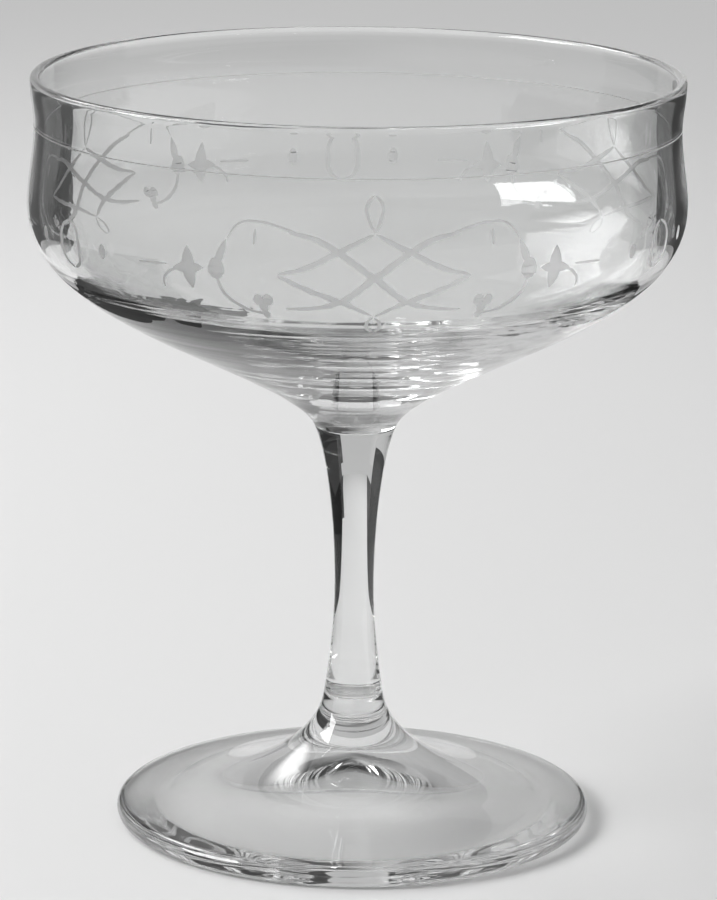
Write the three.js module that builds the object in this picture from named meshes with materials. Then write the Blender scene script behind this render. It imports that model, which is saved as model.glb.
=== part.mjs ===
// Sherbet glass: a blown bowl, a drawn stem and a spread foot, fused hot at two seams.
// Millimetres, +Z up. The origin is the centre of the ring that the foot stands on.
import * as THREE from "three";

// How the three gathers of glass stack on the axis
const FOOT_HEIGHT = 19; // table to the seam at the top of the foot's collar
const STEM_LENGTH = 40.5; // collar seam to bowl seam
const BOWL_HEIGHT = 52; // bowl seam to the top of the rim

// The two seams. A flare is the radius gained for each millimetre of height.
const BOWL_SEAM_RADIUS = 5.95;
const BOWL_SEAM_FLARE = 0.42;
const COLLAR_SEAM_RADIUS = 4.35;
const COLLAR_SEAM_FLARE = -0.15;
const COLLAR_SEAM_SAG = 0.9; // depth of the cup that holds the stem's rounded end

// Bowl: a drop is measured down from the rim, a rise up from the bowl seam
const RIM_RADIUS = 47.2;
const RIM_WALL = 1.5;
const WAIST_RADIUS = 46.7;
const WAIST_DROP = 7.5;
const BELLY_RADIUS = 47.75;
const BELLY_DROP = 18.5;
const BELLY_WALL = 1.6;
const CONE_RADIUS = 20.75;
const CONE_RISE = 10;
const CONE_FLARE = 2;
const CONE_WALL = 3;
const FLOOR_THICKNESS = 9; // bowl seam to the lowest point of the inside

// Stem
const STEM_WAIST_RADIUS = 2.9;
const STEM_WAIST_RISE = 16.6; // above the collar seam

// Foot
const FOOT_RADIUS = 35.1;
const FOOT_EDGE_THICKNESS = 3.1;
const FOOT_EDGE_FALL = 0.1; // height lost for each millimetre of radius where the top meets the edge
const STANDING_RING_WIDTH = 5;
const HOLLOW_RISE = 7.5; // height of the hollow underside at the axis
const HOLLOW_EDGE_SLOPE = 0.2;

// How far an outline holds its direction at each station before it bends to the next
const BOWL_NECK_HOLD = 3.4;
const CONE_LOWER_HOLD = 6.5;
const CONE_UPPER_HOLD = 15.6;
const BELLY_LOWER_HOLD = 11;
const BELLY_UPPER_HOLD = 3.2;
const WAIST_LOWER_HOLD = 3.7;
const WAIST_UPPER_HOLD = 2.9;
const RIM_HOLD = 2.8;
const FLOOR_HOLD = 9;
const STEM_TOP_HOLD = 4.7;
const STEM_UPPER_HOLD = 9.3;
const STEM_LOWER_HOLD = 6.1;
const STEM_END_HOLD = 4.9;
const COLLAR_HOLD = 6.9;
const FOOT_EDGE_HOLD = 19;
const HOLLOW_EDGE_HOLD = 18;
const HOLLOW_CROWN_HOLD = 3;

// Fineness of the solids
const FACETS_AROUND = 48;
const LONG_CURVE_STEPS = 9;
const SHORT_CURVE_STEPS = 5;
const QUARTER_ROUND_STEPS = 3;
const SEAT_STEPS = 3;

// Heights on the axis
const collarSeamHeight = FOOT_HEIGHT;
const bowlSeamHeight = collarSeamHeight + STEM_LENGTH;
const rimHeight = bowlSeamHeight + BOWL_HEIGHT;

// Directions of an outline, as radius and height
const OUTWARDS = new THREE.Vector2(1, 0);
const UPWARDS = new THREE.Vector2(0, 1);
const flared = (flare) => new THREE.Vector2(flare, 1).normalize();

// A station of an outline: its place, the direction there, and how long it is held on either side.
const station = (radius, height, direction, holdBefore, holdAfter) => ({
  point: new THREE.Vector2(radius, height),
  direction,
  holdBefore,
  holdAfter,
});

// The smooth curve from one station to the next, as points.
function curveBetween(from, to, steps) {
  const leaving = from.point.clone().addScaledVector(from.direction, from.holdAfter);
  const arriving = to.point.clone().addScaledVector(to.direction, -to.holdBefore);
  return new THREE.CubicBezierCurve(from.point, leaving, arriving, to.point).getPoints(steps);
}

// A round edge that passes through each of the given angles, as points.
function roundEdge(radius, height, roundness, angles) {
  const rounds = angles.slice(1).map((toAngle, i) => {
    const arc = new THREE.EllipseCurve(radius, height, roundness, roundness, angles[i], toAngle);
    return arc.getPoints(QUARTER_ROUND_STEPS).slice(i === 0 ? 0 : 1);
  });
  return rounds.flat();
}

// The inside of a wall at a station: the same direction, set in by the wall's thickness.
function insideOf(outer, wall, holdBefore, holdAfter) {
  const inwards = new THREE.Vector2(-outer.direction.y, outer.direction.x);
  const point = outer.point.clone().addScaledVector(inwards, wall);
  return station(point.x, point.y, outer.direction, holdBefore, holdAfter);
}

// The flat seat between bowl and stem, and the cupped seat between stem and collar, from the axis outwards.
const bowlSeat = [new THREE.Vector2(0, bowlSeamHeight), new THREE.Vector2(BOWL_SEAM_RADIUS, bowlSeamHeight)];
const collarSeat = new THREE.QuadraticBezierCurve(
  new THREE.Vector2(0, collarSeamHeight - COLLAR_SEAM_SAG),
  new THREE.Vector2(COLLAR_SEAM_RADIUS / 2, collarSeamHeight - COLLAR_SEAM_SAG),
  new THREE.Vector2(COLLAR_SEAM_RADIUS, collarSeamHeight),
).getPoints(SEAT_STEPS);

function bowlOutline() {
  const neck = station(BOWL_SEAM_RADIUS, bowlSeamHeight, flared(BOWL_SEAM_FLARE), 0, BOWL_NECK_HOLD);
  const coneHeight = bowlSeamHeight + CONE_RISE;
  const cone = station(CONE_RADIUS, coneHeight, flared(CONE_FLARE), CONE_LOWER_HOLD, CONE_UPPER_HOLD);
  const belly = station(BELLY_RADIUS, rimHeight - BELLY_DROP, UPWARDS, BELLY_LOWER_HOLD, BELLY_UPPER_HOLD);
  const waist = station(WAIST_RADIUS, rimHeight - WAIST_DROP, UPWARDS, WAIST_LOWER_HOLD, WAIST_UPPER_HOLD);
  const lipRoundness = RIM_WALL / 2;
  const rim = station(RIM_RADIUS, rimHeight - lipRoundness, UPWARDS, RIM_HOLD, 0);

  const floor = station(0, bowlSeamHeight + FLOOR_THICKNESS, OUTWARDS, 0, FLOOR_HOLD);
  const coneInside = insideOf(cone, CONE_WALL, CONE_LOWER_HOLD, CONE_UPPER_HOLD);
  const bellyInside = insideOf(belly, BELLY_WALL, BELLY_LOWER_HOLD, BELLY_UPPER_HOLD);
  const waistInside = insideOf(waist, RIM_WALL, WAIST_LOWER_HOLD, WAIST_UPPER_HOLD);
  const rimInside = insideOf(rim, RIM_WALL, RIM_HOLD, 0);

  const outside = [
    ...curveBetween(neck, cone, LONG_CURVE_STEPS).slice(1),
    ...curveBetween(cone, belly, LONG_CURVE_STEPS).slice(1),
    ...curveBetween(belly, waist, SHORT_CURVE_STEPS).slice(1),
    ...curveBetween(waist, rim, SHORT_CURVE_STEPS).slice(1),
  ];
  const lip = roundEdge(RIM_RADIUS - lipRoundness, rim.point.y, lipRoundness, [0, Math.PI / 2, Math.PI]);
  const inside = [
    ...curveBetween(floor, coneInside, SHORT_CURVE_STEPS),
    ...curveBetween(coneInside, bellyInside, LONG_CURVE_STEPS).slice(1),
    ...curveBetween(bellyInside, waistInside, SHORT_CURVE_STEPS).slice(1),
    ...curveBetween(waistInside, rimInside, SHORT_CURVE_STEPS).slice(1, -1),
  ];
  return [...bowlSeat, ...outside, ...lip.slice(1), ...inside.reverse()];
}

function stemOutline() {
  const waistHeight = collarSeamHeight + STEM_WAIST_RISE;
  const end = station(COLLAR_SEAM_RADIUS, collarSeamHeight, flared(COLLAR_SEAM_FLARE), 0, STEM_END_HOLD);
  const waist = station(STEM_WAIST_RADIUS, waistHeight, UPWARDS, STEM_LOWER_HOLD, STEM_UPPER_HOLD);
  const top = station(BOWL_SEAM_RADIUS, bowlSeamHeight, flared(BOWL_SEAM_FLARE), STEM_TOP_HOLD, 0);
  return [
    ...collarSeat,
    ...curveBetween(end, waist, LONG_CURVE_STEPS).slice(1),
    ...curveBetween(waist, top, LONG_CURVE_STEPS).slice(1, -1),
    ...bowlSeat.toReversed(),
  ];
}

function footOutline() {
  const edgeRoundness = FOOT_EDGE_THICKNESS / 2;
  const edgeCentre = FOOT_RADIUS - edgeRoundness;
  const edgeTopAngle = Math.PI / 2 - Math.atan(FOOT_EDGE_FALL);
  const edge = roundEdge(edgeCentre, edgeRoundness, edgeRoundness, [-Math.PI / 2, 0, edgeTopAngle]);
  const edgeTop = edge.at(-1);
  const inwardsAndUp = new THREE.Vector2(-1, FOOT_EDGE_FALL).normalize();
  const shoulder = station(edgeTop.x, edgeTop.y, inwardsAndUp, 0, FOOT_EDGE_HOLD);
  const collar = station(COLLAR_SEAM_RADIUS, collarSeamHeight, flared(COLLAR_SEAM_FLARE), COLLAR_HOLD, 0);

  const crown = station(0, HOLLOW_RISE, OUTWARDS, 0, HOLLOW_CROWN_HOLD);
  const outwardsAndDown = new THREE.Vector2(1, -HOLLOW_EDGE_SLOPE).normalize();
  const ringInside = station(edgeCentre - STANDING_RING_WIDTH, 0, outwardsAndDown, HOLLOW_EDGE_HOLD, 0);
  return [
    ...curveBetween(crown, ringInside, LONG_CURVE_STEPS),
    ...edge,
    ...curveBetween(shoulder, collar, LONG_CURVE_STEPS).slice(1, -1),
    ...collarSeat.toReversed(),
  ];
}

// One gather of glass, turned about the axis from its outline.
function turned(name, outline) {
  const geometry = new THREE.LatheGeometry(outline, FACETS_AROUND);
  geometry.rotateX(Math.PI / 2);
  const clearGlass = new THREE.MeshStandardMaterial({
    color: 0xe9ecec,
    roughness: 0.04,
    metalness: 0,
    transparent: true,
    opacity: 0.35,
  });
  const mesh = new THREE.Mesh(geometry, clearGlass);
  mesh.name = name;
  return mesh;
}

const sherbetGlass = new THREE.Group();
sherbetGlass.add(turned("bowl", bowlOutline()));
sherbetGlass.add(turned("stem", stemOutline()));
sherbetGlass.add(turned("foot", footOutline()));

export default sherbetGlass;
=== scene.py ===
"""Sherbet glass: a blown bowl with its engraving, a drawn stem and a spread foot, on a pale table."""
import math

import bpy
from mathutils import Euler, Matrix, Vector
from mathutils.geometry import interpolate_bezier


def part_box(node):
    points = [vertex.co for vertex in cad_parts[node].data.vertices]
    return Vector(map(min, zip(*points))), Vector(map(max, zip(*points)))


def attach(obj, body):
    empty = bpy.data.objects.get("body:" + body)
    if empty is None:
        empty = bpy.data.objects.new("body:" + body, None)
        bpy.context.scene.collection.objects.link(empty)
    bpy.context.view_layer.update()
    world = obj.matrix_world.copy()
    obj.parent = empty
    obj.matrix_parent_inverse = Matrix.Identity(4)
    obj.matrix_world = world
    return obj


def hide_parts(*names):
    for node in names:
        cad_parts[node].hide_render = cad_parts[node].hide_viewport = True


bl_info = {
    "name": "Sherbet Glass",
    "version": (1, 0, 0),
    "blender": (4, 5, 0),
    "location": "View3D > Sidebar > Sherbet Glass",
    "description": "Turns the three gathers of a clear sherbet glass, cuts its engraving and sets its stage",
    "category": "Add Mesh",
}

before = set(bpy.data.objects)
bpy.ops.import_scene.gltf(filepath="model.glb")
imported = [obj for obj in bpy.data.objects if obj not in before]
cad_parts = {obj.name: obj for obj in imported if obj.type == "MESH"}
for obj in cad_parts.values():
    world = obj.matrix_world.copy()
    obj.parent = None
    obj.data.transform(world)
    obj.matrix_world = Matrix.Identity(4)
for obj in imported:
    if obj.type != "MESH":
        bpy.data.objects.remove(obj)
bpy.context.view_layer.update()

MM = 0.001
bowl_low, bowl_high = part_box("bowl")
foot_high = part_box("foot")[1]

# The two seams. A flare is the radius gained for each unit of height.
BOWL_SEAM_RADIUS = 5.95 * MM
BOWL_SEAM_FLARE = 0.42
COLLAR_SEAM_RADIUS = 4.35 * MM
COLLAR_SEAM_FLARE = -0.15
COLLAR_SEAM_SAG = 0.9 * MM
SEAM_ROUND = 0.14 * MM  # how far each gather's edge is drawn in at a seam

# Bowl: a drop is measured down from the rim, a rise up from the bowl seam
RIM_RADIUS = 47.2 * MM
WAIST_RADIUS = 46.7 * MM
WAIST_DROP = 7.5 * MM
BELLY_DROP = 18.5 * MM
CONE_RADIUS = 20.75 * MM
CONE_RISE = 10 * MM
CONE_FLARE = 2
FLOOR_THICKNESS = 9 * MM

# Stem
STEM_WAIST_RADIUS = 2.9 * MM
STEM_WAIST_RISE = 16.6 * MM

# Foot
FOOT_EDGE_THICKNESS = 3.1 * MM
FOOT_EDGE_FALL = 0.1
STANDING_RING_WIDTH = 5 * MM
HOLLOW_RISE = 7.5 * MM
HOLLOW_EDGE_SLOPE = 0.2

# How far an outline holds its direction at each station before it bends to the next
BOWL_NECK_HOLD = 3.4 * MM
CONE_LOWER_HOLD = 6.5 * MM
CONE_UPPER_HOLD = 15.6 * MM
BELLY_LOWER_HOLD = 11 * MM
BELLY_UPPER_HOLD = 3.2 * MM
WAIST_LOWER_HOLD = 3.7 * MM
WAIST_UPPER_HOLD = 2.9 * MM
RIM_HOLD = 2.8 * MM
FLOOR_HOLD = 9 * MM
STEM_TOP_HOLD = 4.7 * MM
STEM_UPPER_HOLD = 9.3 * MM
STEM_LOWER_HOLD = 6.1 * MM
STEM_END_HOLD = 4.9 * MM
COLLAR_HOLD = 6.9 * MM
FOOT_EDGE_HOLD = 19 * MM
HOLLOW_EDGE_HOLD = 18 * MM
HOLLOW_CROWN_HOLD = 3 * MM
QUARTER_ROUND = 0.5523  # hold that makes a quarter circle, as a share of its radius

# Fineness of the turned surfaces
FACETS_AROUND = 256
LONG_STEPS = 28
SHORT_STEPS = 12
ROUND_STEPS = 7
SEAT_STEPS = 4
SEAM_STEPS = 3
AXIS_GAP = 0.01 * MM  # radius of the circle that an outline is swept round
MERGE_DISTANCE = AXIS_GAP / 5

# Fineness of the cuts
CUT_SIDES = 36
ROUND_CUT_STEPS = 17
LEAST_HALF_WIDTH = 0.04 * MM
CUT_CLEARANCE = 0.004 * MM  # how far a cut's tip stays off the surface
LINE_BLUNTNESS = 0.4  # 1 tapers a cut like a lens, 0.5 rounds it like an ellipse
LEAF_BLUNTNESS = 1.0
ROUND_BLUNTNESS = 0.5
HUMP_TO_ONE = 4.0  # x (1 - x) peaks at a quarter
RAY_REACH = 2.0  # rays that find the bowl's outside start this many belly radii from the axis

# Marks: what a face needs to lie wholly on a seat and to count as marked, and an edge to divide two kinds
WHOLE_MARK = 0.999
HALF_MARK = 0.5
LEAST_SHARE = 0.01
MOST_SHARE = 0.99

# Glass and what roughens it. A noise has its fineness in waves for each metre and its detail.
GLASS_IOR = 1.52
GLASS_BOUNCES = 32
NOISE_LOW = 0.3  # most of a noise lies between these two
NOISE_HIGH = 0.7
HAZE_NOISE = (140.0, 3.0)
HAZE_ROUGHNESS = 0.012
HAND_NOISE = (45.0, 1.0)  # the faint waves of hand work
HAND_STRENGTH = 0.25
HAND_DEPTH = 0.1 * MM
GRAIN_NOISE = (5000.0, 2.0)  # the grain of a ground cut
GRAIN_ROUGHNESS = (0.45, 0.6)
GRAIN_STRENGTH = 0.4
GRAIN_DEPTH = 0.02 * MM

# Rings of turning in the bowl: waves for each metre, depth, and the heights between which they fade
RING_WAVES = (3.0, 3.0, 400.0)
RING_DEPTH = 0.22 * MM
RINGS_FULL = 78 * MM
RINGS_GONE = 90 * MM
STRETCHED_NOISE = (1.0, 2.0)  # a noise whose place is stretched already

# Wear on the ring that the foot stands on: the height that it reaches, its roughness and its scuffs
WEAR_HEIGHT = 0.1 * MM
WEAR_ROUGHNESS = 0.04
WEAR_NOISE = (900.0, 2.0)

# Share of the light for the table that one wall of glass keeps back, met square and met edge on
FACE_SHADE = 0.03
EDGE_SHADE = 0.8
THICK_EDGE_SHADE = 0.95  # at the foot's thick edge, however it is met

# Directions of an outline, as radius and height
OUTWARDS = Vector((1.0, 0.0))
INWARDS = Vector((-1.0, 0.0))
UPWARDS = Vector((0.0, 1.0))

# Engraving, laid flat: millimetres sideways from the middle of a lattice, and height above the table.
# Each stroke has its greatest half width and the points that it runs through. The left half is drawn here.
LATTICE_STROKES = [
    (0.3, [(0.0, 97.1), (-0.9, 99.2), (-1.1, 100.9), (0.0, 102.4)]),
    (0.3, [(0.0, 85.3), (-0.9, 84.3), (-0.8, 83.2), (0.0, 82.7)]),
    (0.48, [(0.0, 97.1), (-4.8, 94.6), (-9.2, 92.4), (-13.4, 91.2)]),
    (0.52, [(-13.4, 91.2), (-9.6, 89.4), (-4.8, 87.6), (0.0, 85.3)]),
    (0.58, [(-12.0, 97.1), (-8.0, 96.2), (-4.9, 94.5), (0.0, 91.0), (4.6, 87.6), (8.4, 86.5), (12.6, 86.2)]),
]
SCROLL_STROKES = [
    (0.24, [(-10.0, 96.8), (-13.0, 97.7), (-16.0, 98.3), (-18.8, 97.9), (-20.7, 95.6)]),
    (0.36, [(-22.1, 90.6), (-21.4, 88.3), (-19.9, 86.8), (-17.4, 85.6), (-14.6, 85.3)]),
    (0.24, [(-16.5, 97.5), (-16.6, 95.0)]),
    (0.26, [(-27.6, 91.1), (-29.6, 90.3), (-30.7, 89.0), (-30.7, 87.8)]),
    (0.22, [(-29.6, 91.4), (-34.9, 91.2)]),
    (0.42, [(-50.0, 94.7), (-48.2, 93.6), (-47.6, 91.2), (-48.2, 88.8), (-50.0, 87.8)]),
]
# Leaves, which come to a point at both ends: the star's four and the bud's stalk
LEAF_STROKES = [
    (1.3, [(-26.6, 94.4), (-26.3, 91.4), (-26.0, 88.2)]),
    (1.0, [(-23.9, 91.4), (-26.3, 91.3), (-29.0, 91.0)]),
    (0.7, [(-20.6, 95.7), (-21.4, 93.6), (-22.2, 91.4)]),
]
# Round cuts: half width, middle and height
ROUND_CUTS = [
    (1.4, (-22.1, 91.5), 3.0),
    (0.8, (-14.9, 87.5), 1.7),
    (0.8, (-16.3, 87.4), 1.7),
    (0.7, (-15.6, 86.3), 1.5),
    (0.8, (-42.0, 91.4), 2.2),
    (0.55, (-15.4, 85.2), 1.2),
]

# The photograph's frame and the camera that was fitted to it
PICTURE_HEIGHT = 900
CAMERA_PLACE = (0.0, -0.6388, 0.2112)
CAMERA_PITCH = math.radians(13.676)
CAMERA_ROLL = math.radians(0.5)
FOCAL_PIXELS = 4483
SENSOR_WIDTH = 36.0
PICTURE_SHIFT = 3.2  # pixels that the picture moves to the left
NEAREST_SEEN = 0.01
FARTHEST_SEEN = 100.0

# Table
TABLE_RADIUS = 4.0
TABLE_SIDES = 96
TABLE_DROP = 0.05 * MM
TABLE_ROUGHNESS = 0.9
TABLE_SHINE = 0.1
GLOW_START = 0.3  # past this distance the table turns into the backdrop
GLOW_END = 1.1
SIDE_NARROWING = (2.5, 1.0, 1.0)  # it does so sooner at the sides than behind

# Lamps. Angles on the stage run from straight behind the glass, to the right.
LAMP_DISTANCE = 1.2
LAMP_TARGET = Vector((0.0, 0.0, 95 * MM))
SIDE_LAMP = {"angle": math.radians(-99), "rise": math.radians(33), "roll": math.radians(45), "size": 0.6}
BACK_GLOW = {"angle": math.radians(-44), "rise": math.radians(38), "radius": 0.36}
GLOW_HEART = 0.3  # share of the glow's radius that is fully bright

# The dark cards glow at a set grey and only show in the glass, as painted dark reflections at the bowl's
# edges; the back card glows at the backdrop's grey
# Cards that only show in the glass: distance, height, and the angles that they stand between
RIGHT_CARD = (0.3, 0.1, math.radians(19), math.radians(76))
LEFT_CARD = (0.3, 0.085, math.radians(-70), math.radians(-26))
BACK_CARD = (0.9, 0.55, math.radians(-16), math.radians(16))
DEEP_CARD = (0.31, 0.13, math.radians(-70), math.radians(-16))
CARD_STEPS = 12
ONE_WALL = 2.5  # surfaces that light has passed: fewer behind one wall of glass, more behind two

# These sheets glow at a set dark grey and only show in the glass, as painted dark reflections in the bowl
# Dark sheets that lie on the left: near edge, far edge, and the angles that they lie between
SIDE_SHEET = (0.055, 0.3, math.radians(-112), math.radians(-68))
NEAR_SHEET = (0.12, 0.195, math.radians(-25), math.radians(-8))
# The bright sheet glows, shows only in the glass and lights nothing else: a painted highlight on the rim at
# the right
BRIGHT_SHEET = ((0.13, -0.15), (0.6, 0.1))  # corners of a sheet that lies at the right
SHEET_LIFT = 0.1 * MM

# The rails glow at a set dark grey and only show behind one wall of glass: painted dark reflections at the
# stem's edges
# Low rails that stand on either side and show in the stem
RAIL_ASIDE = 0.066
RAIL_FRONT = -0.016
RAIL_BACK = 0.22
RAIL_LIFT_START = 0.1  # distance behind the rail's front from which its lower edge rises to a point
RAIL_FALL = 0.09  # length over which a rail's top falls from its front height to its back height
RAIL_FRONT_HEIGHT = 60 * MM
RAIL_BACK_HEIGHT = 40 * MM

# The room that shows in the glass
ROOM_BRIGHT = -0.5  # sideways part of a direction in which the room is brightest, and darkest
ROOM_DARK = 0.35
STREAK_WAVES = (1.5, 1.5, 22.0)  # pale streaks on the dark side of the room
STREAK_START = 0.5  # values of the noise between which a streak comes up
STREAK_END = 0.65

BLACK = (0.0, 0.0, 0.0)
WHITE = (1.0, 1.0, 1.0)
AXIS_FOOT = (0.0, 0.0, 0.0)  # where the axis meets the table


def length(name, description, value):
    """A length that a user can change."""
    return bpy.props.FloatProperty(name=name, description=description, default=value, unit="LENGTH")


def grey(name, description, value, **more):
    """A grey that a user can change."""
    colour = (value, value, value)
    return bpy.props.FloatVectorProperty(
        name=name, description=description, default=colour, subtype="COLOR", **more)


class GlassSizes(bpy.types.PropertyGroup):
    """Sizes of the glass that a maker would change."""

    rim_height: length("Rim Height", "Table to the top of the rim", bowl_high.z)
    belly_radius: length("Belly Radius", "Axis to the bowl's fullest point", bowl_high.x)
    bowl_seam_height: length("Bowl Seam", "Table to the seam of bowl and stem", bowl_low.z)
    collar_seam_height: length("Collar Seam", "Table to the seam of stem and foot", foot_high.z)
    foot_radius: length("Foot Radius", "Axis to the foot's edge", foot_high.x)
    rim_wall: length("Rim Wall", "Thickness of the glass at the rim", 1.5 * MM)
    belly_wall: length("Belly Wall", "Thickness of the glass at the belly", 1.6 * MM)
    cone_wall: length("Cone Wall", "Thickness of the glass under the bowl", 3 * MM)


class EngravingSizes(bpy.types.PropertyGroup):
    """How the ornament is cut."""

    repeats: bpy.props.IntProperty(
        name="Repeats", description="Lattices round the bowl", default=3, min=1)
    first_angle: bpy.props.FloatProperty(
        name="First Lattice", description="Where the front lattice sits", default=math.radians(-87.1),
        subtype="ANGLE")
    wheel: bpy.props.FloatProperty(
        name="Wheel Roundness", description="Radius of a cut's round bottom for each unit of its half width",
        default=6.0, min=1.1)
    step: length("Step", "Distance between the rings of a cut", 0.4 * MM)
    ring_height: length("Ring Line", "Table to the line round the rim", 104.4 * MM)
    ring_half_width: length("Ring Half Width", "Half the width of the line", 0.15 * MM)


class StageLooks(bpy.types.PropertyGroup):
    """Colours of the glass and of its surroundings."""

    clear: bpy.props.FloatVectorProperty(
        name="Clear Glass", description="What the glass lets through", default=(0.91, 0.915, 0.913),
        subtype="COLOR")
    ground: grey("Ground Cut", "Matt grey of a cut", 0.8)
    table: grey("Table", "Pale table that the glass stands on", 0.76)
    backdrop: grey("Backdrop", "What the table ends in", 0.52)
    # The cards, sheets and rails glow at these greys and only show in the glass: painted dark reflections,
    # and from the bright sheet a painted highlight
    left_card: grey("Left Card", "Dark edge at the bowl's left", 0.085)
    right_card: grey("Right Card", "Dark edge at the bowl's right", 0.05)
    left_rail: grey("Left Rail", "Dark edge at the stem's right", 0.07)
    right_rail: grey("Right Rail", "Dark edge at the stem's left", 0.014)
    bright_sheet: grey("Bright Sheet", "Light that the rim catches at the right", 1.1, soft_max=4.0)
    room_left: bpy.props.FloatProperty(
        name="Room Left", description="Bright side of the room that shows in the glass", default=0.6)
    room_right: bpy.props.FloatProperty(
        name="Room Right", description="Dark side of the room that shows in the glass", default=0.03)
    streaks: bpy.props.FloatProperty(
        name="Streaks", description="Pale streaks on the dark side of the room", default=0.08)
    fill: grey("Fill", "Light of the room on the table", 0.37)
    side_lamp_power: bpy.props.FloatProperty(
        name="Side Lamp", description="Soft box on the left", default=12.4, unit="POWER")
    back_glow: bpy.props.FloatProperty(
        name="Back Glow", description="Brightness of the soft light behind on the left", default=8.5)


def flared(flare):
    return Vector((flare, 1.0)).normalized()


def station(radius, height, direction, hold_before, hold_after):
    """A place on an outline, the direction there, and how long it is held on either side."""
    point = Vector((radius, height))
    return {"point": point, "direction": direction, "before": hold_before, "after": hold_after}


def turned_back(place):
    """The same station, met from the other side."""
    return station(place["point"].x, place["point"].y, -place["direction"], place["after"], place["before"])


def inside_of(outer, wall):
    """The inside of a wall at a station, met on the way down."""
    inwards = Vector((-outer["direction"].y, outer["direction"].x))
    point = outer["point"] + inwards * wall
    return turned_back(station(point.x, point.y, outer["direction"], outer["before"], outer["after"]))


def curve_between(start, end, steps):
    """Points of the smooth curve from one station to the next, without its first point."""
    leaving = start["point"] + start["direction"] * start["after"]
    arriving = end["point"] - end["direction"] * end["before"]
    knots = [point.to_3d() for point in (start["point"], leaving, arriving, end["point"])]
    return [point.to_2d() for point in interpolate_bezier(*knots, steps + 1)[1:]]


def outline_through(stations, steps, seats):
    """Points of an outline through its stations, marked 1 on the stretches that are seats and 0 elsewhere."""
    points = [(stations[0]["point"], 1.0 if 0 in seats else 0.0)]
    for stretch, (start, end, count) in enumerate(zip(stations, stations[1:], steps)):
        on_seat = 1.0 if stretch in seats else 0.0
        if on_seat:
            points[-1] = (points[-1][0], on_seat)
        points += [(point, on_seat) for point in curve_between(start, end, count)]
    return points


def bowl_outline(sizes):
    seam = sizes.bowl_seam_height
    rounding = SEAM_ROUND * QUARTER_ROUND
    axis = station(0, seam, OUTWARDS, 0, 0)
    seat_edge = station(BOWL_SEAM_RADIUS - SEAM_ROUND, seam, OUTWARDS, 0, rounding)
    neck_radius = BOWL_SEAM_RADIUS + BOWL_SEAM_FLARE * SEAM_ROUND
    neck = station(neck_radius, seam + SEAM_ROUND, flared(BOWL_SEAM_FLARE), rounding, BOWL_NECK_HOLD)
    cone = station(CONE_RADIUS, seam + CONE_RISE, flared(CONE_FLARE), CONE_LOWER_HOLD, CONE_UPPER_HOLD)
    belly_height = sizes.rim_height - BELLY_DROP
    belly = station(sizes.belly_radius, belly_height, UPWARDS, BELLY_LOWER_HOLD, BELLY_UPPER_HOLD)
    waist_height = sizes.rim_height - WAIST_DROP
    waist = station(WAIST_RADIUS, waist_height, UPWARDS, WAIST_LOWER_HOLD, WAIST_UPPER_HOLD)
    lip = sizes.rim_wall / 2
    lip_hold = lip * QUARTER_ROUND
    rim = station(RIM_RADIUS, sizes.rim_height - lip, UPWARDS, RIM_HOLD, lip_hold)
    rim_top = station(RIM_RADIUS - lip, sizes.rim_height, INWARDS, lip_hold, lip_hold)
    floor = station(0, seam + FLOOR_THICKNESS, INWARDS, FLOOR_HOLD, 0)
    stations = [
        axis, seat_edge, neck, cone, belly, waist, rim, rim_top,
        inside_of(rim, sizes.rim_wall), inside_of(waist, sizes.rim_wall),
        inside_of(belly, sizes.belly_wall), inside_of(cone, sizes.cone_wall), floor,
    ]
    steps = [
        SEAT_STEPS, SEAM_STEPS, LONG_STEPS, LONG_STEPS, SHORT_STEPS, SHORT_STEPS, ROUND_STEPS, ROUND_STEPS,
        SHORT_STEPS, SHORT_STEPS, LONG_STEPS, LONG_STEPS,
    ]
    return outline_through(stations, steps, {0})


def collar_seat(sizes):
    """Axis and edge of the cup that holds the stem's rounded end, as two stations."""
    bottom = station(0, sizes.collar_seam_height - COLLAR_SEAM_SAG, OUTWARDS, 0, COLLAR_SEAM_RADIUS / 3)
    edge_radius = COLLAR_SEAM_RADIUS - SEAM_ROUND
    rise = Vector((edge_radius / 2, COLLAR_SEAM_SAG)).normalized()
    edge = station(edge_radius, sizes.collar_seam_height, rise, COLLAR_SEAM_RADIUS / 3, 0)
    return bottom, edge


def stem_outline(sizes):
    collar, seam = sizes.collar_seam_height, sizes.bowl_seam_height
    rounding = SEAM_ROUND * QUARTER_ROUND
    cup_bottom, cup_edge = collar_seat(sizes)
    end_radius = COLLAR_SEAM_RADIUS + COLLAR_SEAM_FLARE * SEAM_ROUND
    end = station(end_radius, collar + SEAM_ROUND, flared(COLLAR_SEAM_FLARE), rounding, STEM_END_HOLD)
    waist = station(STEM_WAIST_RADIUS, collar + STEM_WAIST_RISE, UPWARDS, STEM_LOWER_HOLD, STEM_UPPER_HOLD)
    top_radius = BOWL_SEAM_RADIUS - BOWL_SEAM_FLARE * SEAM_ROUND
    top = station(top_radius, seam - SEAM_ROUND, flared(BOWL_SEAM_FLARE), STEM_TOP_HOLD, rounding)
    seat_edge = station(BOWL_SEAM_RADIUS - SEAM_ROUND, seam, INWARDS, rounding, 0)
    axis = station(0, seam, INWARDS, 0, 0)
    stations = [cup_bottom, cup_edge, end, waist, top, seat_edge, axis]
    steps = [SEAT_STEPS, SEAM_STEPS, LONG_STEPS, LONG_STEPS, SEAM_STEPS, SEAT_STEPS]
    return outline_through(stations, steps, {0, 5})


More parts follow.
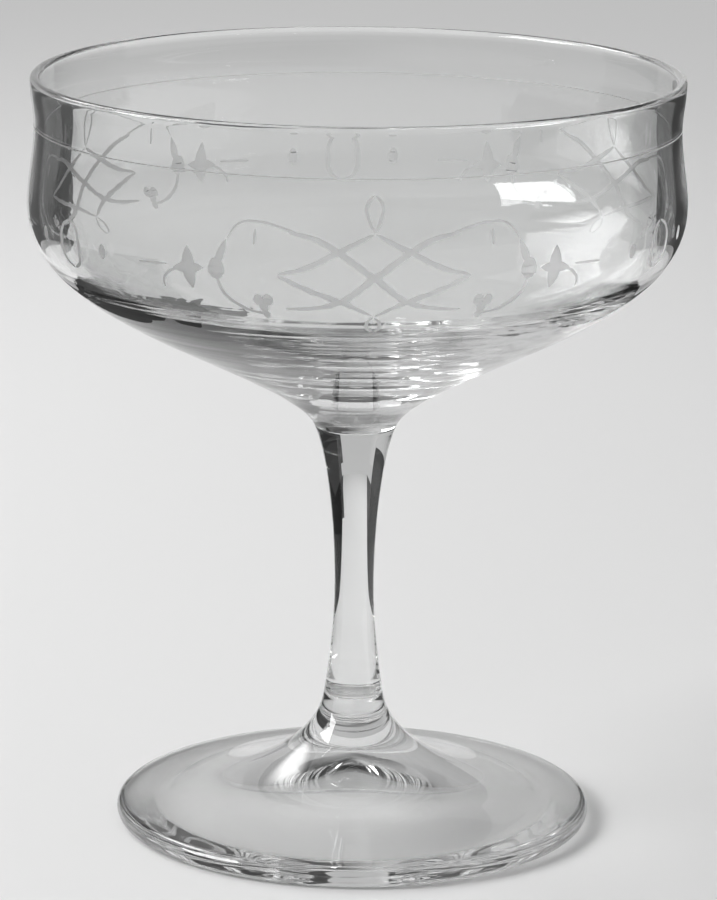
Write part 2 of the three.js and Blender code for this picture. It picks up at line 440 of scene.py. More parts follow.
def foot_outline(sizes):
    edge = FOOT_EDGE_THICKNESS / 2
    edge_hold = edge * QUARTER_ROUND
    edge_centre = sizes.foot_radius - edge
    crown = station(0, HOLLOW_RISE, OUTWARDS, 0, HOLLOW_CROWN_HOLD)
    down = Vector((1.0, -HOLLOW_EDGE_SLOPE)).normalized()
    ring_inside = station(edge_centre - STANDING_RING_WIDTH, 0, down, HOLLOW_EDGE_HOLD, 0)
    ring_outside = station(edge_centre, 0, OUTWARDS, 0, edge_hold)
    edge_middle = station(sizes.foot_radius, edge, UPWARDS, edge_hold, edge_hold)
    inwards_and_up = Vector((-1.0, FOOT_EDGE_FALL)).normalized()
    edge_top = Vector((edge_centre, edge)) + Vector((inwards_and_up.y, -inwards_and_up.x)) * edge
    shoulder = station(edge_top.x, edge_top.y, inwards_and_up, edge_hold, FOOT_EDGE_HOLD)
    collar_radius = COLLAR_SEAM_RADIUS - COLLAR_SEAM_FLARE * SEAM_ROUND
    collar_height = sizes.collar_seam_height - SEAM_ROUND
    rounding = SEAM_ROUND * QUARTER_ROUND
    collar = station(collar_radius, collar_height, flared(COLLAR_SEAM_FLARE), COLLAR_HOLD, rounding)
    cup_bottom, cup_edge = collar_seat(sizes)
    stations = [
        crown, ring_inside, ring_outside, edge_middle, shoulder, collar,
        turned_back(cup_edge), turned_back(cup_bottom),
    ]
    steps = [LONG_STEPS, SEAT_STEPS, ROUND_STEPS, ROUND_STEPS, 2 * LONG_STEPS, SEAM_STEPS, SEAT_STEPS]
    return outline_through(stations, steps, {6})


class NodePlan:
    """A node tree in the making."""

    def __init__(self, tree):
        self.tree = tree

    def join(self, value, socket):
        """Links another node's output to a socket, or sets the socket's own value."""
        if isinstance(value, bpy.types.NodeSocket):
            self.tree.links.new(value, socket)
        else:
            socket.default_value = value

    def add(self, kind, inputs=None, **settings):
        """A node with its settings, and its inputs joined by name or number. Returns the node."""
        node = self.tree.nodes.new(kind)
        for key, value in settings.items():
            setattr(node, key, value)
        for key, value in (inputs or {}).items():
            self.join(value, node.inputs[key])
        return node

    def math(self, operation, *values):
        return self.add("ShaderNodeMath", dict(enumerate(values)), operation=operation).outputs[0]

    def vectors(self, operation, *values):
        """A step with vectors, whose result is a vector."""
        inputs = dict(enumerate(values))
        return self.add("ShaderNodeVectorMath", inputs, operation=operation).outputs["Vector"]

    def distance(self, place, middle):
        inputs = {0: place, 1: middle}
        return self.add("ShaderNodeVectorMath", inputs, operation="DISTANCE").outputs["Value"]

    def parts(self, vector):
        """A vector's X, Y and Z, by name."""
        return self.add("ShaderNodeSeparateXYZ", {0: vector}).outputs

    def spread(self, value, start, end, low, high, curve="LINEAR"):
        """A value between start and end, spread from low to high."""
        inputs = {"Value": value, "From Min": start, "From Max": end, "To Min": low, "To Max": high}
        return self.add("ShaderNodeMapRange", inputs, interpolation_type=curve).outputs["Result"]

    def eased(self, value, start, end, low, high):
        """The same with soft ends."""
        return self.spread(value, start, end, low, high, "SMOOTHSTEP")

    def noise(self, place, fineness_and_detail):
        fineness, detail = fineness_and_detail
        inputs = {"Vector": place, "Scale": fineness, "Detail": detail}
        return self.add("ShaderNodeTexNoise", inputs).outputs["Fac"]

    def ray(self):
        """What is known of the ray that asks for a colour, by name."""
        return self.add("ShaderNodeLightPath").outputs


class ShaderPlan(NodePlan):
    """A material in the making, with its main shader."""

    def __init__(self, name):
        self.material = bpy.data.materials.new(name)
        self.material.use_nodes = True
        super().__init__(self.material.node_tree)
        self.shader = self.tree.nodes["Principled BSDF"]

    def dress(self, inputs):
        """Joins inputs of the main shader by name."""
        for key, value in inputs.items():
            self.join(value, self.shader.inputs[key])

    def glaze(self, colour, roughness, ior):
        """Makes the main shader glass."""
        self.dress({"Base Color": (*colour, 1.0), "Roughness": roughness})
        self.dress({"Transmission Weight": 1.0, "IOR": ior})

    def on_piece(self):
        """Places that stick to the piece."""
        return self.add("ShaderNodeTexCoord").outputs["Object"]

    def noise_from(self, noise, low, high):
        """The middle of a noise's range, spread from low to high."""
        return self.spread(noise, NOISE_LOW, NOISE_HIGH, low, high)

    def bump(self, height, strength, distance):
        """Adds a bump to the shader, on top of those that it has."""
        bump = self.add("ShaderNodeBump", {"Height": height, "Strength": strength, "Distance": distance})
        for link in self.shader.inputs["Normal"].links:
            self.join(link.from_socket, bump.inputs["Normal"])
        self.dress({"Normal": bump.outputs["Normal"]})


class GeometryPlan(NodePlan):
    """A Geometry Nodes tree in the making, with named inputs."""

    def __init__(self, name):
        super().__init__(bpy.data.node_groups.new(name, "GeometryNodeTree"))
        for way in ("INPUT", "OUTPUT"):
            self.tree.interface.new_socket("Geometry", in_out=way, socket_type="NodeSocketGeometry")
        self.start = self.tree.nodes.new("NodeGroupInput")
        self.end = self.tree.nodes.new("NodeGroupOutput")

    def input(self, name, kind):
        """A named input of the tree. Returns its socket inside the tree."""
        self.tree.interface.new_socket(name, in_out="INPUT", socket_type="NodeSocket" + kind)
        return self.start.outputs[name]

    def grow(self, kind, inputs=None, **settings):
        """A Geometry node, as its first output."""
        return self.add("GeometryNode" + kind, inputs, **settings).outputs[0]

    def scaled(self, vector, factor):
        return self.add("ShaderNodeVectorMath", {0: vector, "Scale": factor}, operation="SCALE").outputs[0]

    def xyz(self, x, y, z):
        return self.add("ShaderNodeCombineXYZ", {"X": x, "Y": y, "Z": z}).outputs[0]

    def named(self, name):
        return self.grow("InputNamedAttribute", {"Name": name}, data_type="FLOAT")

    def store(self, geometry, name, value, domain):
        inputs = {"Geometry": geometry, "Name": name, "Value": value}
        return self.grow("StoreNamedAttribute", inputs, data_type="FLOAT", domain=domain)

    def finish(self, geometry):
        self.join(geometry, self.end.inputs["Geometry"])
        return self.tree


def rings_of_turning(plan):
    """Fine rings that turning leaves under the belly: waves that change far more upwards than sideways."""
    place = plan.on_piece()
    waves = plan.noise(plan.vectors("MULTIPLY", place, RING_WAVES), STRETCHED_NOISE)
    fade = plan.eased(plan.parts(place)["Z"], RINGS_FULL, RINGS_GONE, 1.0, 0.0)
    plan.bump(plan.math("MULTIPLY", waves, fade), 1.0, RING_DEPTH)


def lets_light_through(plan, least_shade=0.0):
    """Lets light pass straight to the table, less of it where it meets the glass edge on."""
    ray = plan.ray()
    lighting = plan.math("MAXIMUM", ray["Is Shadow Ray"], ray["Is Diffuse Ray"])
    edge = plan.add("ShaderNodeLayerWeight").outputs["Facing"]
    shade = plan.math("MAXIMUM", plan.spread(edge, 0.0, 1.0, FACE_SHADE, EDGE_SHADE), least_shade)
    alpha = plan.add("ShaderNodeMix", {"Factor": lighting, "A": 1.0, "B": shade})
    plan.dress({"Alpha": alpha.outputs["Result"]})


def shade_of_thick_edge(plan, foot_radius):
    """The share of light that the foot's thick edge keeps from the table, by distance from the axis."""
    level = plan.vectors("MULTIPLY", plan.on_piece(), (1.0, 1.0, 0.0))
    ring_outside = foot_radius - FOOT_EDGE_THICKNESS / 2
    ring_inside = ring_outside - STANDING_RING_WIDTH
    return plan.eased(plan.distance(level, AXIS_FOOT), ring_inside, ring_outside, 0.0, THICK_EDGE_SHADE)


def clear_glass(looks, name):
    """Fire-polished clear glass, with the faint waves of hand work."""
    plan = ShaderPlan(name)
    place = plan.on_piece()
    haze = plan.noise_from(plan.noise(place, HAZE_NOISE), 0.0, HAZE_ROUGHNESS)
    plan.glaze(looks.clear, haze, GLASS_IOR)
    plan.bump(plan.noise(place, HAND_NOISE), HAND_STRENGTH, HAND_DEPTH)
    return plan


def wear_of_standing(plan):
    """Scuffs on the ring that the foot stands on, added to the roughness that the glass has."""
    place = plan.on_piece()
    worn = plan.spread(plan.parts(place)["Z"], 0.0, WEAR_HEIGHT, WEAR_ROUGHNESS, 0.0)
    scuffs = plan.noise_from(plan.noise(place, WEAR_NOISE), 0.0, 1.0)
    haze = plan.shader.inputs["Roughness"].links[0].from_socket
    plan.dress({"Roughness": plan.math("MULTIPLY_ADD", scuffs, worn, haze)})


def ground_cut(looks):
    """The matt grey that a cutting wheel leaves."""
    plan = ShaderPlan("ground_cut")
    grain = plan.noise(plan.on_piece(), GRAIN_NOISE)
    plan.glaze(looks.ground, plan.noise_from(grain, *GRAIN_ROUGHNESS), GLASS_IOR)
    plan.bump(grain, GRAIN_STRENGTH, GRAIN_DEPTH)
    lets_light_through(plan)
    return plan.material


def fused_seam():
    """The seam inside the glass, which light passes straight."""
    plan = ShaderPlan("fused_seam")
    plan.glaze(WHITE, 0.0, 1.0)
    lets_light_through(plan)
    return plan.material


def turned_surface(plan, facets):
    """The outline swept round the axis, as a closed surface with its seats marked."""
    marked = plan.store(plan.start.outputs["Geometry"], "seat", plan.grow("InputRadius"), "POINT")
    outline = plan.grow("Transform", {"Geometry": marked, "Translation": (-AXIS_GAP, 0, 0)})
    circle = plan.grow("CurvePrimitiveCircle", {"Resolution": facets, "Radius": AXIS_GAP}, mode="RADIUS")
    upright = plan.grow("SetCurveNormal", {"Curve": circle}, mode="Z_UP")
    swept = plan.grow("CurveToMesh", {"Curve": upright, "Profile Curve": outline, "Scale": 1.0})
    standing = plan.grow("Transform", {"Geometry": swept, "Rotation": (math.pi, 0, 0)})
    closed = plan.grow("MergeByDistance", {"Geometry": standing, "Distance": MERGE_DISTANCE})
    seat = plan.math("GREATER_THAN", plan.named("seat"), WHOLE_MARK)
    return plan.store(closed, "seat", seat, "FACE")


def between_kinds(plan, name):
    """True on an edge that divides marked faces from unmarked ones."""
    share = plan.named(name)
    some = plan.math("GREATER_THAN", share, LEAST_SHARE)
    return plan.math("MULTIPLY", some, plan.math("LESS_THAN", share, MOST_SHARE))


def finished_surface(plan, surface, kinds, glass):
    """The last steps of a gather: smooth faces with crisp edges round each kind, one mesh, its materials."""
    surface = plan.grow("SetShadeSmooth", {"Geometry": surface, "Shade Smooth": True}, domain="FACE")
    for name in kinds:
        edges = between_kinds(plan, name)
        inputs = {"Geometry": surface, "Selection": edges, "Shade Smooth": False}
        surface = plan.grow("SetShadeSmooth", inputs, domain="EDGE")
    surface = plan.grow("RealizeInstances", {"Geometry": surface})
    surface = plan.grow("SetMaterial", {"Geometry": surface, "Material": glass})
    for name, material in kinds.items():
        chosen = plan.math("GREATER_THAN", plan.named(name), HALF_MARK)
        surface = plan.grow("SetMaterial", {"Geometry": surface, "Selection": chosen, "Material": material})
    return surface


def turned_tree():
    """Tree for a gather that is only turned."""
    plan = GeometryPlan("Turned Gather")
    facets = plan.input("Facets Around", "Int")
    glass = plan.input("Glass", "Material")
    seam = plan.input("Seam", "Material")
    surface = turned_surface(plan, facets)
    return plan.finish(finished_surface(plan, surface, {"seat": seam}, glass))


def pressed_on(plan, surface, curves, start, outwards, half_width, wheel, reach):
    """Cutters along curves: tubes that dip into the surface as deep as gives each cut its half width."""
    curves = plan.store(curves, "half_width", half_width, "POINT")
    half = plan.named("half_width")
    tube = plan.math("MULTIPLY", wheel, plan.math("MAXIMUM", half, LEAST_HALF_WIDTH))
    squares = plan.math("SUBTRACT", plan.math("MULTIPLY", tube, tube), plan.math("MULTIPLY", half, half))
    lift = plan.math("ADD", plan.math("SQRT", squares), CUT_CLEARANCE)
    aim = {
        "Target Geometry": surface,
        "Attribute": plan.grow("InputNormal"),
        "Source Position": start,
        "Ray Direction": plan.scaled(outwards, -1.0),
        "Ray Length": reach,
    }
    ray = plan.add("GeometryNodeRaycast", aim, data_type="FLOAT_VECTOR", mapping="INTERPOLATED")
    lifted = {"Geometry": curves, "Name": "lift", "Value": plan.scaled(ray.outputs["Attribute"], lift)}
    curves = plan.grow("StoreNamedAttribute", lifted, data_type="FLOAT_VECTOR", domain="POINT")
    laid = plan.grow("SetPosition", {"Geometry": curves, "Position": ray.outputs["Hit Position"]})
    section = plan.grow("CurvePrimitiveCircle", {"Resolution": CUT_SIDES, "Radius": 1.0}, mode="RADIUS")
    sweep = {"Curve": laid, "Profile Curve": section, "Scale": tube, "Fill Caps": True}
    tubes = plan.grow("CurveToMesh", sweep)
    shift = plan.grow("InputNamedAttribute", {"Name": "lift"}, data_type="FLOAT_VECTOR")
    raised = plan.grow("SetPosition", {"Geometry": tubes, "Offset": shift})
    island = plan.grow("InputMeshIsland")
    marked = plan.store(raised, "ground", 1.0, "FACE")
    return plan.grow("SplitToInstances", {"Geometry": marked, "Group ID": island}, domain="FACE")


def ornament_cutters(plan, surface, flat, bluntness, sizes):
    """Cutters for one flat drawing, mirrored, repeated round the bowl and laid on its outside."""
    mirrored = plan.grow("Transform", {"Geometry": flat, "Scale": (-1.0, 1.0, 1.0)})
    both = plan.add("GeometryNodeJoinGeometry")
    plan.join(flat, both.inputs["Geometry"])
    plan.join(mirrored, both.inputs["Geometry"])
    repeat = {"Geometry": both.outputs[0], "Amount": sizes["Repeats"]}
    copies = plan.add("GeometryNodeDuplicateElements", repeat, domain="SPLINE")
    turn = plan.math("DIVIDE", 2 * math.pi, sizes["Repeats"])
    copy_angle = plan.math("MULTIPLY", copies.outputs["Duplicate Index"], turn)
    repeated = plan.store(copies.outputs["Geometry"], "copy_angle", copy_angle, "CURVE")

    place = plan.parts(plan.grow("InputPosition"))
    along = plan.math("DIVIDE", place["X"], sizes["Belly Radius"])
    angle = plan.math("ADD", plan.math("ADD", along, plan.named("copy_angle")), sizes["First Angle"])
    outwards = plan.xyz(plan.math("COSINE", angle), plan.math("SINE", angle), 0.0)
    reach = plan.math("MULTIPLY", sizes["Belly Radius"], RAY_REACH)
    start = plan.vectors("ADD", plan.scaled(outwards, reach), plan.xyz(0.0, 0.0, place["Y"]))

    factor = plan.grow("SplineParameter")
    hump = plan.math("MULTIPLY", factor, plan.math("SUBTRACT", 1.0, factor))
    rise_and_fall = plan.math("MULTIPLY", hump, HUMP_TO_ONE)
    taper = plan.math("POWER", plan.math("MAXIMUM", rise_and_fall, 0.0), bluntness)
    half_width = plan.math("MULTIPLY", plan.grow("InputRadius"), taper)
    return pressed_on(plan, surface, repeated, start, outwards, half_width, sizes["Wheel"], reach)


def ring_cutter(plan, surface, facets, sizes):
    """The cutter for the line round the rim."""
    reach = plan.math("MULTIPLY", sizes["Belly Radius"], RAY_REACH)
    circle = plan.grow("CurvePrimitiveCircle", {"Resolution": facets, "Radius": reach}, mode="RADIUS")
    height = plan.xyz(0.0, 0.0, sizes["Ring Height"])
    raised = plan.grow("Transform", {"Geometry": circle, "Translation": height})
    here = plan.grow("InputPosition")
    place = plan.parts(here)
    away = plan.vectors("NORMALIZE", plan.xyz(place["X"], place["Y"], 0.0))
    half = sizes["Ring Half Width"]
    return pressed_on(plan, surface, raised, here, away, half, sizes["Wheel"], reach)


def engraved_tree():
    """Tree for the bowl: turned, then cut with its ornament and its ring line."""
    plan = GeometryPlan("Engraved Bowl")
    facets = plan.input("Facets Around", "Int")
    drawings = [plan.input(name, "Object") for name in ("Lines", "Leaves", "Round Cuts")]
    sizes = {"Repeats": plan.input("Repeats", "Int")}
    for name in ("First Angle", "Belly Radius", "Wheel", "Step", "Ring Height", "Ring Half Width"):
        sizes[name] = plan.input(name, "Float")
    glass = plan.input("Glass", "Material")
    ground = plan.input("Ground", "Material")
    seam = plan.input("Seam", "Material")

    turned = plan.grow("SetMaterial", {"Geometry": turned_surface(plan, facets), "Material": glass})
    surface = plan.store(turned, "ground", 0.0, "FACE")
    lines, leaves, rounds = [
        plan.add("GeometryNodeObjectInfo", {"Object": drawing}).outputs["Geometry"] for drawing in drawings
    ]
    lines = plan.grow("ResampleCurve", {"Curve": lines, "Length": sizes["Step"]}, mode="LENGTH")
    leaves = plan.grow("ResampleCurve", {"Curve": leaves, "Length": sizes["Step"]}, mode="LENGTH")
    rounds = plan.grow("ResampleCurve", {"Curve": rounds, "Count": ROUND_CUT_STEPS}, mode="COUNT")
    cutters = [
        ornament_cutters(plan, surface, lines, LINE_BLUNTNESS, sizes),
        ornament_cutters(plan, surface, leaves, LEAF_BLUNTNESS, sizes),
        ornament_cutters(plan, surface, rounds, ROUND_BLUNTNESS, sizes),
        ring_cutter(plan, surface, facets, sizes),
    ]
    cut = plan.add("GeometryNodeMeshBoolean", {"Mesh 1": surface}, operation="DIFFERENCE", solver="MANIFOLD")
    for cutter in cutters:
        plan.join(cutter, cut.inputs["Mesh 2"])
    return plan.finish(finished_surface(plan, cut.outputs["Mesh"], {"ground": ground, "seat": seam}, glass))


def placed(name, data):
    """A new object in the scene."""
    piece = bpy.data.objects.new(name, data)
    bpy.context.scene.collection.objects.link(piece)
    return piece


def outline_object(name, marked_points):
    """An outline as a curve, whose point radius holds the mark of a seat."""
    curve = bpy.data.curves.new(name, "CURVE")
    curve.dimensions = "3D"
    spline = curve.splines.new("POLY")
    spline.points.add(len(marked_points) - 1)
    for place, (point, mark) in zip(spline.points, marked_points):
        place.co = (point.x, point.y, 0.0, 1.0)
        place.radius = mark
    return placed(name, curve)


def drawing_object(name, strokes):
    """Strokes laid flat as smooth curves, whose point radius holds the half width."""
    curve = bpy.data.curves.new(name, "CURVE")
    curve.dimensions = "3D"
    for half_width, points in strokes:
        spline = curve.splines.new("BEZIER")
        spline.bezier_points.add(len(points) - 1)
        for knot, (sideways, height) in zip(spline.bezier_points, points):
            knot.co = (sideways * MM, height * MM, 0.0)
            knot.radius = half_width * MM
            knot.handle_left_type = "AUTO"
            knot.handle_right_type = "AUTO"
    return placed(name, curve)


def grown_mesh(name, source, tree, values):
    """Runs a tree on an object and returns its result as a plain mesh object."""
    grow = source.modifiers.new("Grow", "NODES")
    grow.node_group = tree
    for socket in tree.interface.items_tree:
        if socket.in_out == "INPUT" and socket.name in values:
            grow[socket.identifier] = values[socket.name]
    source.update_tag()
    evaluated = source.evaluated_get(bpy.context.evaluated_depsgraph_get())
    mesh = bpy.data.meshes.new_from_object(evaluated)
    mesh.name = name
    source.modifiers.remove(grow)
    bpy.data.objects.remove(source)
    return placed(name, mesh)


def turned_piece(name, outline, glass):
    """A gather that is only turned, from the points of its outline."""
    values = {"Facets Around": FACETS_AROUND, "Glass": glass.material, "Seam": fused_seam()}
    return grown_mesh(name, outline_object(name + "_outline", outline), turned_tree(), values)


def stand_for(piece, node):
    """The piece takes the CAD node's place."""
    if not piece.data.polygons:
        raise RuntimeError(piece.name + " came out empty")
    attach(piece, "root")
    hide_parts(node)


class SHERBET_OT_bowl(bpy.types.Operator):
    """Turn the bowl and cut its engraving"""

    bl_idname = "sherbet.bowl"
    bl_label = "Bowl"

    def execute(self, context):
        scene = context.scene
        sizes, cuts, looks = scene.sherbet_sizes, scene.sherbet_engraving, scene.sherbet_looks
        short_lines = [
            (half_width, [(x, y + height / 2), (x, y - height / 2)])
            for half_width, (x, y), height in ROUND_CUTS
        ]
        drawings = {
            "Lines": drawing_object("engraved_lines", LATTICE_STROKES + SCROLL_STROKES),
            "Leaves": drawing_object("engraved_leaves", LEAF_STROKES),
            "Round Cuts": drawing_object("engraved_rounds", short_lines),
        }
        glass = clear_glass(looks, "clear_bowl_glass")
        rings_of_turning(glass)
        lets_light_through(glass)
        values = {
            **drawings,
            "Facets Around": FACETS_AROUND,
            "Repeats": cuts.repeats,
            "First Angle": cuts.first_angle,
            "Belly Radius": sizes.belly_radius,
            "Wheel": cuts.wheel,
            "Step": cuts.step,
            "Ring Height": cuts.ring_height,
            "Ring Half Width": cuts.ring_half_width,
            "Glass": glass.material,
            "Ground": ground_cut(looks),
            "Seam": fused_seam(),
        }
        outline = outline_object("bowl_outline", bowl_outline(sizes))
        bowl = grown_mesh("engraved_bowl", outline, engraved_tree(), values)
        for drawing in drawings.values():
            bpy.data.objects.remove(drawing)
        stand_for(bowl, "bowl")
        return {"FINISHED"}


class SHERBET_OT_stem(bpy.types.Operator):
    """Turn the stem"""

    bl_idname = "sherbet.stem"
    bl_label = "Stem"

    def execute(self, context):
        scene = context.scene
        glass = clear_glass(scene.sherbet_looks, "clear_stem_glass")
        lets_light_through(glass)
        stem = turned_piece("drawn_stem", stem_outline(scene.sherbet_sizes), glass)
        stand_for(stem, "stem")
        return {"FINISHED"}


class SHERBET_OT_foot(bpy.types.Operator):
    """Turn the foot"""

    bl_idname = "sherbet.foot"
    bl_label = "Foot"

    def execute(self, context):
        scene = context.scene
        sizes = scene.sherbet_sizes
        glass = clear_glass(scene.sherbet_looks, "clear_foot_glass")
        lets_light_through(glass, shade_of_thick_edge(glass, sizes.foot_radius))
        wear_of_standing(glass)
        foot = turned_piece("spread_foot", foot_outline(sizes), glass)
        stand_for(foot, "foot")
        return {"FINISHED"}


def photo_camera(scene):
    """The camera that the photograph was taken with."""
    data = bpy.data.cameras.new("photo_camera")
    data.sensor_width = SENSOR_WIDTH
    data.lens = FOCAL_PIXELS / PICTURE_HEIGHT * SENSOR_WIDTH
    data.shift_x = PICTURE_SHIFT / PICTURE_HEIGHT
    data.clip_start = NEAREST_SEEN
    data.clip_end = FARTHEST_SEEN
    camera = placed("photo_camera", data)
    camera.location = CAMERA_PLACE
    level = Euler((math.pi / 2 - CAMERA_PITCH, 0.0, 0.0)).to_matrix()
    rolled = level @ Euler((0.0, 0.0, CAMERA_ROLL)).to_matrix()
    camera.rotation_euler = rolled.to_euler()
    scene.camera = camera


def stage_direction(angle, rise):
    """The direction that an angle and a rise give on the stage."""
    level = math.cos(rise)
    return Vector((math.sin(angle) * level, math.cos(angle) * level, math.sin(rise)))


def stage_sheet(name, corners, faces, material):
    mesh = bpy.data.meshes.new(name)
    mesh.from_pydata(corners, [], faces)
    mesh.materials.append(material)
    piece = placed(name, mesh)
    return piece


def strip(name, pairs, material):
    """A sheet between two rows of points that only shows in the glass."""
    corners = [corner for pair in pairs for corner in pair]
    faces = [(2 * i, 2 * i + 1, 2 * i + 3, 2 * i + 2) for i in range(len(pairs) - 1)]
    sheet = stage_sheet(name, corners, faces, material)
    sheet.visible_camera = False
    sheet.visible_diffuse = False
    sheet.visible_shadow = False


def table_shade(looks):
    """Pale paper that ends as the backdrop."""
    plan = ShaderPlan("pale_table")
    colour = (*looks.table, 1.0)
    plan.dress({"Base Color": colour, "Roughness": TABLE_ROUGHNESS, "Specular IOR Level": TABLE_SHINE})
    narrowed = plan.vectors("MULTIPLY", plan.on_piece(), SIDE_NARROWING)
    fade = plan.eased(plan.distance(narrowed, AXIS_FOOT), GLOW_START, GLOW_END, 0.0, 1.0)
    glow = plan.add("ShaderNodeEmission", {"Color": (*looks.backdrop, 1.0)})
    blend = plan.add("ShaderNodeMixShader", {0: fade, 1: plan.shader.outputs[0], 2: glow.outputs[0]})
    plan.join(blend.outputs[0], plan.tree.nodes["Material Output"].inputs["Surface"])
    return plan.material


def pale_table(looks):
    turns = [2 * math.pi * i / TABLE_SIDES for i in range(TABLE_SIDES)]
    rim = [(TABLE_RADIUS * math.cos(turn), TABLE_RADIUS * math.sin(turn), -TABLE_DROP) for turn in turns]
    stage_sheet("table", rim, [range(TABLE_SIDES)], table_shade(looks))


def card_plan(name, colour):
    """A card that shows the same grey however it is lit."""
    plan = ShaderPlan(name)
    plan.dress({"Base Color": (*BLACK, 1.0), "Roughness": 1.0, "Specular IOR Level": 0.0})
    plan.dress({"Emission Color": (*colour, 1.0), "Emission Strength": 1.0})
    return plan


def card_shade(name, colour):
    return card_plan(name, colour).material


def shade_behind(name, colour, comparison):
    """A card that is there only behind one wall of glass, or only behind more."""
    plan = card_plan(name, colour)
    plan.dress({"Alpha": plan.math(comparison, plan.ray()["Transmission Depth"], ONE_WALL)})
    return plan.material


def arc(start, end):
    """Level directions from one angle on the stage to another."""
    return [stage_direction(start + (end - start) * i / CARD_STEPS, 0.0) for i in range(CARD_STEPS + 1)]


def standing_card(name, card, material):
    distance, height, start, end = card
    rise = Vector((0.0, 0.0, height))
    feet = [outwards * distance for outwards in arc(start, end)]
    strip(name, [(foot, foot + rise) for foot in feet], material)


def lying_arc(name, sheet, material):
    near, far, start, end = sheet
    lift = Vector((0.0, 0.0, SHEET_LIFT))
    strip(name, [(outwards * near + lift, outwards * far + lift) for outwards in arc(start, end)], material)


def lying_sheet(name, sheet, material):
    (left, front), (right, back) = sheet
    strip(name, [((x, back, SHEET_LIFT), (x, front, SHEET_LIFT)) for x in (left, right)], material)


def rail(name, side, material):
    across = side * RAIL_ASIDE
    length_in_all = RAIL_BACK - RAIL_FRONT
    pairs = []
    for i in range(CARD_STEPS + 1):
        along = length_in_all * i / CARD_STEPS
        fallen = min(along / RAIL_FALL, 1.0) ** 2
        height = RAIL_FRONT_HEIGHT + (RAIL_BACK_HEIGHT - RAIL_FRONT_HEIGHT) * fallen
        risen = max(along - RAIL_LIFT_START, 0.0) / (length_in_all - RAIL_LIFT_START)
        behind = RAIL_FRONT + along
        pairs.append(((across, behind, height * risen), (across, behind, height)))
    strip(name, pairs, material)


def cards(looks):
    """Cards, sheets and rails that only show in the glass: painted dark reflections that draw its edges, and
    a painted highlight from the bright sheet.
    """
    standing_card("right_card", RIGHT_CARD, card_shade("right_card", looks.right_card))
    standing_card("left_card", LEFT_CARD, card_shade("left_card", looks.left_card))
    standing_card("back_card", BACK_CARD, card_shade("back_card", looks.backdrop))
    standing_card("deep_card", DEEP_CARD, shade_behind("deep_card", looks.left_card, "GREATER_THAN"))
    lying_arc("side_sheet", SIDE_SHEET, card_shade("side_sheet", looks.left_card))
    lying_arc("near_sheet", NEAR_SHEET, shade_behind("near_sheet", looks.left_card, "GREATER_THAN"))
    rail("left_rail", -1, shade_behind("left_rail", looks.left_rail, "LESS_THAN"))
    rail("right_rail", 1, shade_behind("right_rail", looks.right_rail, "LESS_THAN"))
    lying_sheet("bright_sheet", BRIGHT_SHEET, card_shade("bright_sheet", looks.bright_sheet))


def surrounding_light(scene, looks):
    """A room that is bright on the left and dark on the right. The camera sees the backdrop's grey."""
    world = bpy.data.worlds.new("surroundings")
    scene.world = world
    world.use_nodes = True
    plan = NodePlan(world.node_tree)
    direction = plan.add("ShaderNodeTexCoord").outputs["Generated"]
    waves = plan.noise(plan.vectors("MULTIPLY", direction, STREAK_WAVES), STRETCHED_NOISE)
    dark_side = plan.eased(waves, STREAK_START, STREAK_END, looks.room_right, looks.streaks)
    room = plan.eased(plan.parts(direction)["X"], ROOM_BRIGHT, ROOM_DARK, looks.room_left, dark_side)
    surface = plan.tree.nodes["Background"]
    plan.join((*WHITE, 1.0), surface.inputs["Color"])
    plan.join(room, surface.inputs["Strength"])
    ray = plan.ray()
    for kind, colour in (("Is Diffuse Ray", looks.fill), ("Is Camera Ray", looks.backdrop)):
        shown = plan.add("ShaderNodeBackground", {"Color": (*colour, 1.0)})
        surface = plan.add("ShaderNodeMixShader", {0: ray[kind], 1: surface.outputs[0], 2: shown.outputs[0]})
    plan.join(surface.outputs[0], plan.tree.nodes["World Output"].inputs["Surface"])


def soft_lamp(name, lamp_place, power):
    """A square soft box that faces the bowl."""
    data = bpy.data.lights.new(name, "AREA")
    data.shape = "SQUARE"
    data.size = lamp_place["size"]
    data.energy = power
    lamp = placed(name, data)
    outwards = stage_direction(lamp_place["angle"], lamp_place["rise"])
    lamp.location = LAMP_TARGET + outwards * LAMP_DISTANCE
    facing = outwards.to_track_quat("Z", "Y").to_matrix()
    lamp.rotation_euler = (facing @ Euler((0.0, 0.0, lamp_place["roll"])).to_matrix()).to_euler()


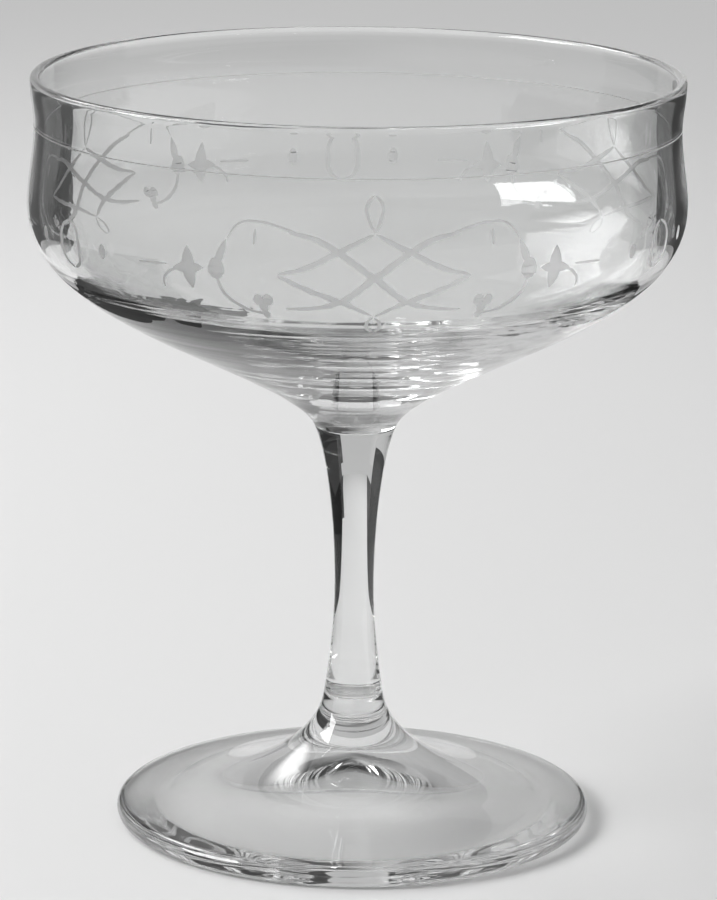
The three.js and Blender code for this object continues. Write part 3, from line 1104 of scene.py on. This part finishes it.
def back_glow(looks):
    """A light that fades towards its edge, as a lit wall does."""
    radius = BACK_GLOW["radius"]
    outwards = stage_direction(BACK_GLOW["angle"], BACK_GLOW["rise"])
    middle = LAMP_TARGET + outwards * LAMP_DISTANCE
    across = outwards.cross(Vector((0.0, 0.0, 1.0))).normalized() * radius
    upwards = across.cross(outwards)
    corners = [middle + across * x + upwards * y for x, y in ((-1, -1), (1, -1), (1, 1), (-1, 1))]
    plan = card_plan("back_glow", WHITE)
    away = plan.distance(plan.on_piece(), middle)
    plan.dress({"Emission Strength": plan.eased(away, radius * GLOW_HEART, radius, looks.back_glow, 0.0)})
    sheet = stage_sheet("back_glow", corners, [(0, 1, 2, 3)], plan.material)
    sheet.visible_camera = False
    sheet.visible_transmission = False
    sheet.visible_shadow = False


class SHERBET_OT_stage(bpy.types.Operator):
    """Set the table, the cards, the lamps and the camera"""

    bl_idname = "sherbet.stage"
    bl_label = "Stage"

    def execute(self, context):
        scene = context.scene
        looks = scene.sherbet_looks
        scene.view_settings.view_transform = "Standard"
        scene.cycles.max_bounces = GLASS_BOUNCES
        scene.cycles.transmission_bounces = GLASS_BOUNCES
        scene.cycles.glossy_bounces = GLASS_BOUNCES
        photo_camera(scene)
        pale_table(looks)
        cards(looks)
        surrounding_light(scene, looks)
        soft_lamp("side_lamp", SIDE_LAMP, looks.side_lamp_power)
        back_glow(looks)
        return {"FINISHED"}


class SHERBET_PT_glass(bpy.types.Panel):
    """Lists the steps that make the glass"""

    bl_idname = "SHERBET_PT_glass"
    bl_label = "Sherbet Glass"
    bl_space_type = "VIEW_3D"
    bl_region_type = "UI"
    bl_category = "Sherbet Glass"

    def draw(self, context):
        for step in STEPS:
            self.layout.operator(step.bl_idname)


STEPS = (SHERBET_OT_stage, SHERBET_OT_bowl, SHERBET_OT_stem, SHERBET_OT_foot)
GROUPS = {"sherbet_sizes": GlassSizes, "sherbet_engraving": EngravingSizes, "sherbet_looks": StageLooks}


def register():
    for name, group in GROUPS.items():
        bpy.utils.register_class(group)
        setattr(bpy.types.Scene, name, bpy.props.PointerProperty(type=group))
    for kind in (*STEPS, SHERBET_PT_glass):
        bpy.utils.register_class(kind)


def unregister():
    for kind in (SHERBET_PT_glass, *reversed(STEPS)):
        bpy.utils.unregister_class(kind)
    for name, group in GROUPS.items():
        delattr(bpy.types.Scene, name)
        bpy.utils.unregister_class(group)


def main():
    register()
    bpy.ops.sherbet.stage()
    bpy.ops.sherbet.bowl()
    bpy.ops.sherbet.stem()
    bpy.ops.sherbet.foot()


if __name__ == "__main__":
    main()
